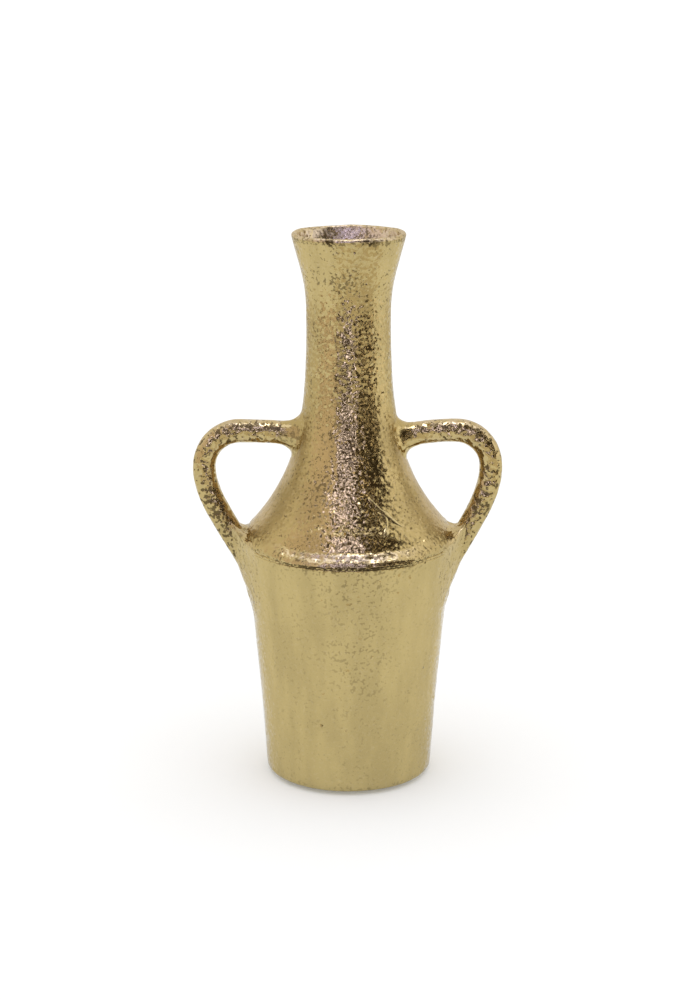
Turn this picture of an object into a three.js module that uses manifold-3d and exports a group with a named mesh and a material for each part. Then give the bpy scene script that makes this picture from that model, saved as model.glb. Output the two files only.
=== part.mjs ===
// Twin-handled vase, sand-cast in aluminium with a worn gold finish.
// The cup and the shouldered neck are cast apart and welded together round the shoulder's edge. Two bent
// bars, welded to the neck and across that edge, are the handles. Four felt pads carry the foot.
// Millimetres, Z up, handles along X, front towards -Y, resting plane at Z = 0.
import * as THREE from 'three';
import { mergeVertices } from 'three/addons/utils/BufferGeometryUtils.js';
import Module from 'manifold-3d';

const wasm = await Module();
wasm.setup();

// Both castings. Heights are above the underside of the foot
const CASTING_HEIGHT = 303;
const WALL = 4.5;
const CLEARANCE = 0.3;

// Cup: tapered side, a little hollow in its height, on a foot ring
const BASE_RADIUS = 46.2;
const BASE_CORNER = 3;
const SEAM_HEIGHT = 131.6;
const SHOULDER_RADIUS = 58.2;
const SIDE_HOLLOW = 1.1;
const FLOOR_HEIGHT = 6;
const FLOOR_FILLET = 6;
const RECESS_RADIUS = 24;
const RECESS_DEPTH = 1.5;

// Shoulder, neck and flared mouth. Leans are degrees from upright, pulls are shares of the curve's rise
const EDGE_ROUND = 5.75;
const SHOULDER_LEAN = 42.4;
const SHOULDER_PULL = 0.26;
const NECK_PULL = 0.44;
const WAIST_HEIGHT = 258.8;
const WAIST_RADIUS = 22.9;
const WAIST_PULL = 0.44;
const LIP_RADIUS = 30.8;
const LIP_LEAN = 13.5;
const LIP_PULL = 0.36;
const SPIGOT_DEPTH = 6;
const SPIGOT_THICKNESS = 2.5;

// Weld round the shoulder's edge, in a groove cut half into each casting
const GROOVE = 1.6;
const BEAD_CROWN = 0.4;

// Handles: a bar with a squarish round section, its centre line in the plane Y = 0
const LEFT_HANDLE_REACH = 85.9;
const RIGHT_HANDLE_REACH = 84.6;
const BAR_THICKNESS = 12.5;
const BAR_DEPTH = 12.8;
const BAR_SQUARENESS = 2.4;
const LEFT_BAR_HEIGHT = 193.8;
const RIGHT_BAR_HEIGHT = 194.3;
const LEFT_SEAT_DROP = 1.5;
const RIGHT_SEAT_DROP = 3.7;
const ELBOW_RADIUS = 20;
const ELBOW_PULL = 0.31;
const FOOT_DROP = 9.1;
const LEG_LEAN = 28.8;
const LEG_PULL = 0.43;

// Handle welds, ground by hand: how wide each fillet runs over the vase, round the bar's upper end or above,
// beside and below its foot. Stretch is how much further it runs along the bar, the lower the pull the fuller
const LEFT_NECK_WELD_WIDTH = 8.5;
const RIGHT_NECK_WELD_WIDTH = 8;
const NECK_WELD_STRETCH = 1.4;
const NECK_WELD_PULL = 0.67;
const LEFT_FOOT_WELD_TOP_WIDTH = 3.5;
const LEFT_FOOT_WELD_SIDE_WIDTH = 17;
const LEFT_FOOT_WELD_BOTTOM_WIDTH = 7.2;
const RIGHT_FOOT_WELD_TOP_WIDTH = 5.5;
const RIGHT_FOOT_WELD_SIDE_WIDTH = 17;
const RIGHT_FOOT_WELD_BOTTOM_WIDTH = 5.5;
const FOOT_WELD_STRETCH = 1;
const FOOT_WELD_PULL = 0.42;

// Felt pads under the foot ring
const PAD_RADIUS = 6;
const PAD_THICKNESS = 2;

// Facets round the vase, a bar and a handle's weld
const VASE_FACETS = 48;
const BAR_FACETS = 16;
const WELD_FACETS = 32;

const { degToRad, lerp } = THREE.MathUtils;
const point = (radius, height) => new THREE.Vector2(radius, height);
const leaning = (degrees) => point(Math.sin(degToRad(degrees)), Math.cos(degToRad(degrees)));

// Closed solid from a three.js geometry, and the way back
function solidOf(geometry) {
  const bare = geometry.index ? geometry.toNonIndexed() : geometry.clone();
  bare.deleteAttribute('normal');
  bare.deleteAttribute('uv');
  const merged = mergeVertices(bare, 1e-4);
  const corners = [];
  for (let i = 0; i < merged.index.count; i += 3) {
    const [a, b, c] = [0, 1, 2].map((step) => merged.index.getX(i + step));
    if (a !== b && b !== c && c !== a) corners.push(a, b, c);
  }
  return new wasm.Manifold(new wasm.Mesh({
    numProp: 3,
    vertProperties: Float32Array.from(merged.attributes.position.array),
    triVerts: Uint32Array.from(corners),
  }));
}

function geometryOf(solid) {
  const mesh = solid.getMesh();
  const geometry = new THREE.BufferGeometry();
  const positions = new Float32Array(mesh.numVert * 3);
  for (let i = 0; i < mesh.numVert; i += 1) {
    for (let axis = 0; axis < 3; axis += 1) {
      positions[i * 3 + axis] = mesh.vertProperties[i * mesh.numProp + axis];
    }
  }
  geometry.setAttribute('position', new THREE.BufferAttribute(positions, 3));
  geometry.setIndex(new THREE.BufferAttribute(Uint32Array.from(mesh.triVerts), 1));
  geometry.computeVertexNormals();
  return geometry;
}

// Turned solid from an outline of radius and height
function turned(outline) {
  return new THREE.LatheGeometry(outline, VASE_FACETS).rotateX(Math.PI / 2);
}

// Points along part of an outline curve, moved square to it by a distance, outwards if positive
function stretch(curve, from, to, steps, distance = 0) {
  const points = [];
  for (let i = 0; i <= steps; i += 1) {
    const share = lerp(from, to, i / steps);
    const along = curve.getTangent(share);
    points.push(curve.getPoint(share).addScaledVector(point(along.y, -along.x), distance));
  }
  return points;
}

// Outer outline, from the foot to the lip: side, rounded edge, shoulder into neck, flare
const side = new THREE.QuadraticBezierCurve(
  point(BASE_RADIUS, 0),
  point((BASE_RADIUS + SHOULDER_RADIUS) / 2 - 2 * SIDE_HOLLOW, SEAM_HEIGHT / 2),
  point(SHOULDER_RADIUS, SEAM_HEIGHT),
);
const edgeCorner = point(SHOULDER_RADIUS, SEAM_HEIGHT + EDGE_ROUND);
const shoulderSlope = leaning(-SHOULDER_LEAN);
const edgeTop = edgeCorner.clone().addScaledVector(shoulderSlope, EDGE_ROUND);
const edge = new THREE.QuadraticBezierCurve(side.v2, edgeCorner, edgeTop);
const waist = point(WAIST_RADIUS, WAIST_HEIGHT);
const neckRise = waist.y - edgeTop.y;
const neck = new THREE.CubicBezierCurve(
  edgeTop,
  edgeTop.clone().addScaledVector(shoulderSlope, SHOULDER_PULL * neckRise / shoulderSlope.y),
  point(WAIST_RADIUS, WAIST_HEIGHT - NECK_PULL * neckRise),
  waist,
);
const lipCentre = point(LIP_RADIUS - WALL / 2, CASTING_HEIGHT - WALL / 2);
const lipSlope = leaning(LIP_LEAN);
const flareEnd = lipCentre.clone().addScaledVector(point(lipSlope.y, -lipSlope.x), WALL / 2);
const flareRise = flareEnd.y - waist.y;
const flare = new THREE.CubicBezierCurve(
  waist,
  point(WAIST_RADIUS, WAIST_HEIGHT + WAIST_PULL * flareRise),
  flareEnd.clone().addScaledVector(lipSlope, -LIP_PULL * flareRise / lipSlope.y),
  flareEnd,
);
const sideRadius = (height) => side.getPoint(height / SEAM_HEIGHT).x;

// Cup: recessed underside, rounded foot, tapered side, half the weld groove, flat rim, wall and floor
const cornerTop = side.getPoint(BASE_CORNER / SEAM_HEIGHT);
const footEdge = cornerTop.x - BASE_CORNER;
const footCorner = new THREE.QuadraticBezierCurve(point(footEdge, 0), point(BASE_RADIUS, 0), cornerTop);
const grooveRoot = point(SHOULDER_RADIUS - GROOVE, SEAM_HEIGHT);
const cupInside = [];
const filletTop = FLOOR_HEIGHT + FLOOR_FILLET;
for (let i = 0; i <= 8; i += 1) {
  const height = lerp(SEAM_HEIGHT, filletTop, i / 8);
  cupInside.push(point(sideRadius(height) - WALL, height));
}
const floorEdge = cupInside[8].x;
const floorFillet = new THREE.QuadraticBezierCurve(
  cupInside[8],
  point(floorEdge, FLOOR_HEIGHT),
  point(floorEdge - FLOOR_FILLET, FLOOR_HEIGHT),
);
const cupOutline = [
  point(0, RECESS_DEPTH),
  point(RECESS_RADIUS - RECESS_DEPTH, RECESS_DEPTH),
  point(RECESS_RADIUS, 0),
  ...stretch(footCorner, 0, 1, 4),
  ...stretch(side, BASE_CORNER / SEAM_HEIGHT, 1 - GROOVE / SEAM_HEIGHT, 9).slice(1),
  grooveRoot,
  ...cupInside,
  ...stretch(floorFillet, 0, 1, 4).slice(1),
  point(0, FLOOR_HEIGHT),
];

// Shoulder and neck: flat seat on the cup's rim and a spigot inside it, then up to the round lip and back
const spigotOuter = sideRadius(SEAM_HEIGHT - SPIGOT_DEPTH) - WALL - CLEARANCE;
const spigotInner = spigotOuter - SPIGOT_THICKNESS;
const grooveShare = GROOVE / (2 * EDGE_ROUND);
const neckInside = [...stretch(neck, 1, 0, 10, -WALL), ...stretch(edge, 1, 0, 4, -WALL).slice(1)];
const firstWide = neckInside.findIndex((place) => place.x > spigotInner);
const [narrow, wide] = [neckInside[firstWide - 1], neckInside[firstWide]];
const spigotTop = lerp(narrow.y, wide.y, (spigotInner - narrow.x) / (wide.x - narrow.x));
const lip = [];
for (let i = 1; i < 8; i += 1) {
  const turn = lerp(-degToRad(LIP_LEAN), Math.PI - degToRad(LIP_LEAN), i / 8);
  lip.push(lipCentre.clone().add(point(Math.cos(turn), Math.sin(turn)).multiplyScalar(WALL / 2)));
}
const neckOutline = [
  point(spigotOuter, SEAM_HEIGHT),
  grooveRoot,
  ...stretch(edge, grooveShare, 1, 4),
  ...stretch(neck, 0, 1, 12).slice(1),
  ...stretch(flare, 0, 1, 6).slice(1),
  ...lip,
  ...stretch(flare, 1, 0, 4, -WALL),
  ...neckInside.slice(1, firstWide),
  point(spigotInner, spigotTop),
  point(spigotInner, SEAM_HEIGHT - SPIGOT_DEPTH),
  point(spigotOuter, SEAM_HEIGHT - SPIGOT_DEPTH),
  point(spigotOuter, SEAM_HEIGHT),
];

// Weld ring: fills the groove and stands a little proud of the edge
const inset = CLEARANCE * Math.SQRT2;
const beadBottom = point(sideRadius(SEAM_HEIGHT - GROOVE), SEAM_HEIGHT - GROOVE + inset);
const beadTop = point(edge.getPoint(grooveShare).x, edge.getPoint(grooveShare).y - inset);
const beadRoot = point(grooveRoot.x + inset, SEAM_HEIGHT);
const crown = new THREE.QuadraticBezierCurve(
  beadBottom,
  point(SHOULDER_RADIUS + 2 * BEAD_CROWN, SEAM_HEIGHT),
  beadTop,
);
const beadOutline = [beadRoot, ...stretch(crown, 0, 1, 4), beadRoot];

// Filled vase with clearance all over: what the handles and their welds are cut to
const clearOutline = [
  point(0, -CLEARANCE),
  point(BASE_RADIUS + CLEARANCE, -CLEARANCE),
  ...stretch(side, 0, 1 - GROOVE / SEAM_HEIGHT, 10, CLEARANCE),
  point(SHOULDER_RADIUS + BEAD_CROWN + CLEARANCE, SEAM_HEIGHT - GROOVE),
  point(SHOULDER_RADIUS + BEAD_CROWN + CLEARANCE, SEAM_HEIGHT + GROOVE),
  ...stretch(edge, 0.4, 1, 4, CLEARANCE),
  ...stretch(neck, 0, 1, 12, CLEARANCE).slice(1),
  ...stretch(flare, 0, 1, 6, CLEARANCE).slice(1),
  point(0, CASTING_HEIGHT),
];
const clearVase = solidOf(turned(clearOutline));

// Signed distance from the outside of the vase, negative within the wall and the hollow
const skin = [
  ...stretch(side, 0, 1, 20),
  ...stretch(edge, 0, 1, 6).slice(1),
  ...stretch(neck, 0, 1, 24).slice(1),
  ...stretch(flare, 0, 1, 8).slice(1),
];
function radiusAt(height) {
  const above = Math.max(1, skin.findIndex((place) => place.y > height));
  const [low, high] = [skin[above - 1], skin[above]];
  return lerp(low.x, high.x, (height - low.y) / (high.y - low.y));
}
const upright = (place) => new THREE.Vector3(place.x, 0, place.y);
const skinLines = skin.slice(1).map((place, i) => new THREE.Line3(upright(skin[i]), upright(place)));
function distanceToVase(position) {
  const place = new THREE.Vector3(Math.hypot(position.x, position.y), 0, position.z);
  const nearest = new THREE.Vector3();
  let distance = Infinity;
  for (const line of skinLines) {
    distance = Math.min(distance, line.closestPointToPoint(place, true, nearest).distanceTo(place));
  }
  return place.x < radiusAt(position.z) ? -distance : distance;
}

// Radius of the bar's section, with any allowance, at an angle from the depth direction
function barRadius(angle, allowance = 0) {
  const across = Math.abs(Math.cos(angle)) / (BAR_DEPTH / 2 + allowance);
  const through = Math.abs(Math.sin(angle)) / (BAR_THICKNESS / 2 + allowance);
  return (across ** BAR_SQUARENESS + through ** BAR_SQUARENESS) ** (-1 / BAR_SQUARENESS);
}

// Centre line of a handle: out of the neck, level, round the elbow, down the leg and on into the cup
function handlePath(direction, handleReach, barHeight, seatDrop) {
  const place = (x, z) => new THREE.Vector3(direction * x, 0, z);
  const seatHeight = barHeight - seatDrop;
  const seatRadius = radiusAt(seatHeight);
  const start = Math.sqrt(seatRadius ** 2 - BAR_DEPTH ** 2 / 4) - WALL;
  const outermost = handleReach - BAR_THICKNESS / 2;
  const elbowStart = outermost - ELBOW_RADIUS;
  const elbowEnd = barHeight - ELBOW_RADIUS;
  const footHeight = SEAM_HEIGHT - FOOT_DROP;
  const footRadius = sideRadius(footHeight);
  const slope = leaning(LEG_LEAN);
  const legRise = elbowEnd - footHeight;
  const kappa = 4 / 3 * Math.tan(Math.PI / 8) * ELBOW_RADIUS;
  const tail = BAR_THICKNESS / Math.tan(degToRad(LEG_LEAN));
  const path = new THREE.CurvePath();
  path.add(new THREE.LineCurve3(place(start, seatHeight), place(seatRadius, seatHeight)));
  path.add(new THREE.QuadraticBezierCurve3(
    place(seatRadius, seatHeight),
    place((seatRadius + elbowStart) / 2, barHeight),
    place(elbowStart, barHeight),
  ));
  path.add(new THREE.CubicBezierCurve3(
    place(elbowStart, barHeight),
    place(elbowStart + kappa, barHeight),
    place(outermost, elbowEnd + kappa),
    place(outermost, elbowEnd),
  ));
  path.add(new THREE.CubicBezierCurve3(
    place(outermost, elbowEnd),
    place(outermost, elbowEnd - ELBOW_PULL * legRise),
    place(footRadius + LEG_PULL * legRise * slope.x / slope.y, footHeight + LEG_PULL * legRise),
    place(footRadius, footHeight),
  ));
  path.add(new THREE.LineCurve3(
    place(footRadius, footHeight),
    place(footRadius - tail * slope.x, footHeight - tail * slope.y),
  ));
  return path;
}

// Bar swept along the path
function barSolid(path, allowance = 0) {
  const section = [];
  for (let i = 0; i < BAR_FACETS; i += 1) {
    const angle = i / BAR_FACETS * 2 * Math.PI;
    const radius = barRadius(angle, allowance);
    section.push(point(radius * Math.sin(angle), radius * Math.cos(angle)));
  }
  return solidOf(new THREE.ExtrudeGeometry(new THREE.Shape(section), { steps: 40, extrudePath: path }));
}

// Outward direction of the vase's surface next to a position
function vaseOutward(position) {
  const step = CLEARANCE / 6;
  const slopes = ['x', 'y', 'z'].map((axis) => {
    const [ahead, behind] = [position.clone(), position.clone()];
    ahead[axis] += step;
    behind[axis] -= step;
    return distanceToVase(ahead) - distanceToVase(behind);
  });
  return new THREE.Vector3(...slopes).normalize();
}

// Ground fillet weld round one end of a handle. At each angle round the bar a curve runs from the bar,
// tangent to it, to the vase, tangent to that. The flatter the two meet, the wider it runs.
function weldSolid(path, end, [topWidth, sideWidth, bottomWidth], stretchOnBar, pull) {
  const length = path.getLength();
  const away = end === 0 ? 1 : -1;
  const depthways = new THREE.Vector3(0, 1, 0);
  const sections = [];
  for (let i = 0; i < WELD_FACETS; i += 1) {
    const angle = away * i / WELD_FACETS * 2 * Math.PI;
    const barOutward = (share) => path.getTangentAt(share).cross(depthways).normalize()
      .multiplyScalar(Math.sin(angle)).addScaledVector(depthways, Math.cos(angle));
    const onBar = (share) => path.getPointAt(share).addScaledVector(barOutward(share), barRadius(angle));
    let [inside, outside] = [end, 0.5];
    for (let halving = 0; halving < 30; halving += 1) {
      const middle = (inside + outside) / 2;
      if (distanceToVase(onBar(middle)) < 0) inside = middle;
      else outside = middle;
    }
    const meeting = onBar(outside);
    const fromBar = barOutward(outside);
    const fromVase = vaseOutward(meeting);
    const overVase = fromBar.clone().addScaledVector(fromVase, -fromBar.dot(fromVase));
    const width = lerp(fromBar.z > 0 ? topWidth : bottomWidth, sideWidth, fromBar.y ** 2);
    const reach = width / overVase.length();
    const barToe = outside + away * reach * stretchOnBar / length;
    const vaseToe = meeting.clone().addScaledVector(overVase.normalize(), reach);
    const toeOutward = vaseOutward(vaseToe);
    vaseToe.addScaledVector(toeOutward, -distanceToVase(vaseToe));
    const barPull = onBar(barToe).lerp(meeting, pull);
    const vasePull = vaseToe.clone().lerp(meeting, pull);
    sections.push([
      ...new THREE.CubicBezierCurve3(onBar(barToe), barPull, vasePull, vaseToe).getPoints(5),
      vaseToe.clone().addScaledVector(toeOutward, -WALL),
      meeting.clone().addScaledVector(fromVase, -WALL).addScaledVector(fromBar, -WALL),
      onBar(barToe).addScaledVector(barOutward(barToe), -WALL),
    ]);
  }
  const count = sections[0].length;
  const corners = [];
  for (let i = 0; i < WELD_FACETS; i += 1) {
    for (let j = 0; j < count; j += 1) {
      const [here, next] = [i * count, (i + 1) % WELD_FACETS * count];
      const ahead = (j + 1) % count;
      corners.push(here + j, here + ahead, next + j, next + j, here + ahead, next + ahead);
    }
  }
  const geometry = new THREE.BufferGeometry().setFromPoints(sections.flat());
  geometry.setIndex(corners);
  return solidOf(geometry);
}

// Assembly
const vase = new THREE.Group();
vase.name = 'twin_handled_vase';
const castings = new THREE.Group();
castings.position.z = PAD_THICKNESS;
vase.add(castings);

function addPiece(parent, name, geometry, color, roughness, metalness) {
  const piece = new THREE.Mesh(geometry, new THREE.MeshStandardMaterial({ color, roughness, metalness }));
  piece.name = name;
  parent.add(piece);
  return piece;
}

addPiece(castings, 'body_cup', geometryOf(solidOf(turned(cupOutline))), 0xb7a774, 0.36, 1);
addPiece(castings, 'shoulder_neck', geometryOf(solidOf(turned(neckOutline))), 0xb39c6c, 0.36, 1);
addPiece(castings, 'shoulder_weld', geometryOf(solidOf(turned(beadOutline))), 0x9c8656, 0.42, 1);

function addHandle(name, path, neckWidth, footWidths) {
  const bar = barSolid(path).subtract(clearVase);
  const room = barSolid(path, CLEARANCE).add(clearVase);
  const neckWidths = [neckWidth, neckWidth, neckWidth];
  const neckWeld = weldSolid(path, 0, neckWidths, NECK_WELD_STRETCH, NECK_WELD_PULL).subtract(room);
  const footWeld = weldSolid(path, 1, footWidths, FOOT_WELD_STRETCH, FOOT_WELD_PULL).subtract(room);
  addPiece(castings, `${name}_handle`, geometryOf(bar), 0xa28f60, 0.38, 1);
  addPiece(castings, `${name}_neck_weld`, geometryOf(neckWeld), 0xa9955f, 0.42, 1);
  addPiece(castings, `${name}_foot_weld`, geometryOf(footWeld), 0xa9955f, 0.42, 1);
}
addHandle(
  'left',
  handlePath(-1, LEFT_HANDLE_REACH, LEFT_BAR_HEIGHT, LEFT_SEAT_DROP),
  LEFT_NECK_WELD_WIDTH,
  [LEFT_FOOT_WELD_TOP_WIDTH, LEFT_FOOT_WELD_SIDE_WIDTH, LEFT_FOOT_WELD_BOTTOM_WIDTH],
);
addHandle(
  'right',
  handlePath(1, RIGHT_HANDLE_REACH, RIGHT_BAR_HEIGHT, RIGHT_SEAT_DROP),
  RIGHT_NECK_WELD_WIDTH,
  [RIGHT_FOOT_WELD_TOP_WIDTH, RIGHT_FOOT_WELD_SIDE_WIDTH, RIGHT_FOOT_WELD_BOTTOM_WIDTH],
);

const padCircle = (RECESS_RADIUS + footEdge) / 2;
for (const [row, back] of [['front', -1], ['rear', 1]]) {
  for (const [column, right] of [['left', -1], ['right', 1]]) {
    const disc = new THREE.CylinderGeometry(PAD_RADIUS, PAD_RADIUS, PAD_THICKNESS, 24).rotateX(Math.PI / 2);
    const pad = addPiece(vase, `felt_pad_${row}_${column}`, disc, 0x4a433c, 0.95, 0);
    pad.position.set(right * padCircle * Math.SQRT1_2, back * padCircle * Math.SQRT1_2, PAD_THICKNESS / 2);
  }
}

export default vase;
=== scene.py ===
"""Twin-handled vase in worn antique gold: two rough sand castings welded at the shoulder, with two bent bar
handles welded on and felt pads under the foot. Metres, Z up, handles along X, front towards -Y."""

from bisect import bisect_left
from math import cos, hypot, pi, radians, sin, tan

import bpy
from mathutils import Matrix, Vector, noise


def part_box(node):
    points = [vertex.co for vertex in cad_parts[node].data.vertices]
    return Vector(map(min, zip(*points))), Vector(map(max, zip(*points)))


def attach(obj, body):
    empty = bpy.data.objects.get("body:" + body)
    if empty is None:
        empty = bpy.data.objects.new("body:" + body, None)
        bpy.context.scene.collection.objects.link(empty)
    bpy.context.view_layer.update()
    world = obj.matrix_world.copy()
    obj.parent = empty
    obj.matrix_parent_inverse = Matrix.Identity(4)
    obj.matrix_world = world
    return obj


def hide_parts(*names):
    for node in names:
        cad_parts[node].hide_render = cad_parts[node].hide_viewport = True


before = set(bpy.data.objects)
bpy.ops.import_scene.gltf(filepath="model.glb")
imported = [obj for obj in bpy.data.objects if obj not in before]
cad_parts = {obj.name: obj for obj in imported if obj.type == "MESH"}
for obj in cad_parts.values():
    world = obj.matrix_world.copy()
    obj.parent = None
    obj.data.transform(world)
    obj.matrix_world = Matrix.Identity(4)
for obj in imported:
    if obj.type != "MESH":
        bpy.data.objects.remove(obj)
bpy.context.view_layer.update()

# Body cup
# The lower half of the vase: a tapered cup, sand-cast in aluminium and washed with antique gold.
# Its side is slightly hollow, its foot is a ring round a shallow recess, and its rim takes the shoulder.
cup_low, cup_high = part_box("body_cup")
foot_height = cup_low.z
seam_height = cup_high.z
base_radius = 0.0462
shoulder_radius = 0.0582
side_hollow = 0.0011
foot_corner = 0.003
recess_radius = 0.024
recess_height = foot_height + 0.0015
recess_slope = 0.0015
middle_radius = 0.004
wall = 0.0045
floor_height = foot_height + 0.006
floor_fillet = 0.006
seam_depth = 0.0008
seam_round = 0.0007
rim_proud = 0.0001
rim_rows = 9
rim_tarnish_and_shade = 0.32
cup_around = 360
fine_gap = 0.001
coarse_gap = 0.004

swell_size, swell_height = 0.028, 0.00022
lump_size, lump_height = 0.0075, 0.00007
grain_size, grain_height = 0.0023, 0.00004
ragged_size, ragged_share = 0.004, 0.6
ragged_seed = 2
noise.seed_set(ragged_seed)
front_start, front_full = 0.25, 0.75
bare_fading = 3
sharp_angle = radians(55)

upright = Vector((0, 0, 1))


def spot(radius, height):
    return Vector((radius, height))


def bezier(controls, share):
    """Point at a share of the curve that the control points draw."""
    while len(controls) > 1:
        controls = [a.lerp(b, share) for a, b in zip(controls, controls[1:])]
    return controls[0]


def stepped(line, count):
    """The same line in a number of even steps."""
    reached = [0.0]
    for a, b in zip(line, line[1:]):
        reached.append(reached[-1] + (b - a).length)
    even = []
    for i in range(count + 1):
        target = reached[-1] * i / count
        k = min(max(bisect_left(reached, target), 1), len(line) - 1)
        even.append(line[k - 1].lerp(line[k], (target - reached[k - 1]) / (reached[k] - reached[k - 1])))
    return even


def spaced(line, gap):
    """The same line with its points evenly spaced, about gap apart."""
    return stepped(line, max(1, round(sum((b - a).length for a, b in zip(line, line[1:])) / gap)))


def drawn(controls, gap, start=0.0, end=1.0):
    """Evenly spaced points along part of a curve."""
    steps = 60
    return spaced([bezier(controls, start + (end - start) * i / steps) for i in range(steps + 1)], gap)


def skinned(line, skin=1.0, tarnish_and_shade=0.0, bare_and_lightened=0.0, proud=0.0, at_sides=None):
    """Rows of an outline: place, share of the cast relief, darkening (tarnished metal and painted shade),
    paleness (worn metal and painted light), how far the row stands proud at the front and back, and its
    place at the sides, by the handles. A row that stands proud has its darkening, paleness and extra relief
    at the front and back only."""
    return [(place, skin, tarnish_and_shade, bare_and_lightened, proud, side) for place, side in zip(line, at_sides or line)]


def cast_relief(place):
    """Height of the cast skin over the drawn surface: slow swells, hand-tooled lumps and sand grain."""
    return (
        swell_height * noise.noise(place / swell_size)
        + lump_height * noise.noise(place / lump_size)
        + grain_height * noise.noise(place / grain_size)
    )


def piece(name, verts, faces, tarnish_and_shade, bare_and_lightened):
    """Mesh object whose points carry how dark they are (tarnished metal and painted shade), how pale (worn
    metal and painted light) and how matt.
    """
    mesh = bpy.data.meshes.new(name)
    mesh.from_pydata(verts, [], faces)
    for label, values in (("tarnish_and_shade", tarnish_and_shade), ("bare_and_lightened", bare_and_lightened), ("matt", [0.0] * len(verts))):
        mesh.attributes.new(label, "FLOAT", "POINT").data.foreach_set("value", values)
    mesh.shade_smooth()
    mesh.set_sharp_from_angle(angle=sharp_angle)
    made = bpy.data.objects.new(name, mesh)
    bpy.context.scene.collection.objects.link(made)
    return made


def turned(name, rows, around, closed=False):
    """Piece turned about the upright axis from the rows of its outline, outside face to the right."""
    places = [row[0] for row in rows]
    verts, rings, tarnish_and_shade, bare_and_lightened = [], [], [], []
    for i, (place, skin, dirt_and_shade, rubbed_and_lightened, proud, side_place) in enumerate(rows):
        before = places[i - 1] if closed or i > 0 else place
        after = places[(i + 1) % len(rows)] if closed or i + 1 < len(rows) else place
        along = (after - before).normalized()
        ring = []
        for j in range(around if place.x > 0 else 1):
            turn = 2 * pi * j / around
            spoke = Vector((cos(turn), sin(turn), 0))
            frontness = spoke.y ** 2
            at_front = frontness if proud else 1
            share = min(1.0, max(0.0, (frontness - front_start) / (front_full - front_start)))
            seat = side_place.lerp(place, share ** 2 * (3 - 2 * share))
            position = spoke * seat.x + upright * seat.y
            ragged = ragged_share * noise.noise_vector(position / ragged_size)
            position += proud * (spoke * (frontness + ragged.x) + upright * frontness * ragged.y)
            outward = spoke * along.y - upright * along.x
            ring.append(len(verts))
            verts.append(position + outward * (1 + (skin - 1) * at_front) * cast_relief(position))
            tarnish_and_shade.append(dirt_and_shade * at_front)
            bare_and_lightened.append(rubbed_and_lightened * at_front ** bare_fading)
        rings.append(ring if len(ring) > 1 else ring * around)
    faces = []
    for low, high in zip(rings, rings[1:] + (rings[:1] if closed else [])):
        for j in range(around):
            k = (j + 1) % around
            faces.append(tuple(dict.fromkeys((low[j], low[k], high[k], high[j]))))
    return piece(name, verts, faces, tarnish_and_shade, bare_and_lightened)


side_curve = [
    spot(base_radius, foot_height),
    spot((base_radius + shoulder_radius) / 2 - 2 * side_hollow, (foot_height + seam_height) / 2),
    spot(shoulder_radius, seam_height),
]


def cup_radius(height):
    return bezier(side_curve, (height - foot_height) / (seam_height - foot_height)).x


corner_top = foot_height + foot_corner
corner_share = foot_corner / (seam_height - foot_height)
foot_edge = cup_radius(corner_top) - foot_corner
corner_curve = [
    spot(foot_edge, foot_height),
    spot(base_radius, foot_height),
    spot(cup_radius(corner_top), corner_top),
]
recess_line = [spot(middle_radius, recess_height), spot(recess_radius - recess_slope, recess_height)]
foot_ring = [spot(recess_radius + fine_gap, foot_height), spot(foot_edge, foot_height)]
seam_share = 1 - (seam_round + seam_depth / 2) / (seam_height - foot_height)
cup_side = drawn(side_curve, fine_gap, corner_share, seam_share)[1:]
side_end = bezier(side_curve, seam_share)
rim_curve = [
    side_end,
    spot(side_end.x, side_end.y + seam_round),
    spot(side_end.x - seam_depth, side_end.y + seam_round),
]
inner_heights = (seam_height, (seam_height + floor_height) / 2, floor_height + floor_fillet)
cup_inside = [spot(cup_radius(height) - wall, height) for height in inner_heights]
inner_foot = cup_inside[-1]
fillet_curve = [
    inner_foot,
    spot(inner_foot.x, floor_height),
    spot(inner_foot.x - floor_fillet, floor_height),
]
floor_line = [fillet_curve[-1], spot(middle_radius, floor_height)]
cup_rows = [
    *skinned([spot(0, recess_height)], skin=0),
    *skinned(spaced(recess_line, coarse_gap), skin=0.5, tarnish_and_shade=0.3),
    *skinned([spot(recess_radius, foot_height)], skin=0.3, tarnish_and_shade=0.2),
    *skinned(spaced(foot_ring, coarse_gap), skin=0.2, tarnish_and_shade=0.1),
    *skinned(drawn(corner_curve, fine_gap)[1:], skin=0.8, tarnish_and_shade=0.15),
    *skinned(cup_side[:-rim_rows]),
    # Under the brim the cup darkens towards the seam at the front and back: partly tarnished metal in the
    # seam, partly painted shade under the brim's overhang.
    *[row for i, place in enumerate(cup_side[-rim_rows:])
      for row in skinned([place], tarnish_and_shade=rim_tarnish_and_shade * i / rim_rows, proud=rim_proud)],
    *skinned(drawn(rim_curve, seam_round / 3)[1:], tarnish_and_shade=0.42, proud=rim_proud),
    *skinned([spot(side_end.x - seam_depth, seam_height), cup_inside[0]], skin=0, tarnish_and_shade=0.8),
    *skinned(spaced(cup_inside, coarse_gap)[1:], tarnish_and_shade=0.35),
    *skinned(drawn(fillet_curve, coarse_gap / 2)[1:], tarnish_and_shade=0.4),
    *skinned(spaced(floor_line, coarse_gap)[1:], tarnish_and_shade=0.4),
    *skinned([spot(0, floor_height)], skin=0, tarnish_and_shade=0.4),
]
body_cup = turned("body_cup_casting", cup_rows, cup_around)


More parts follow.
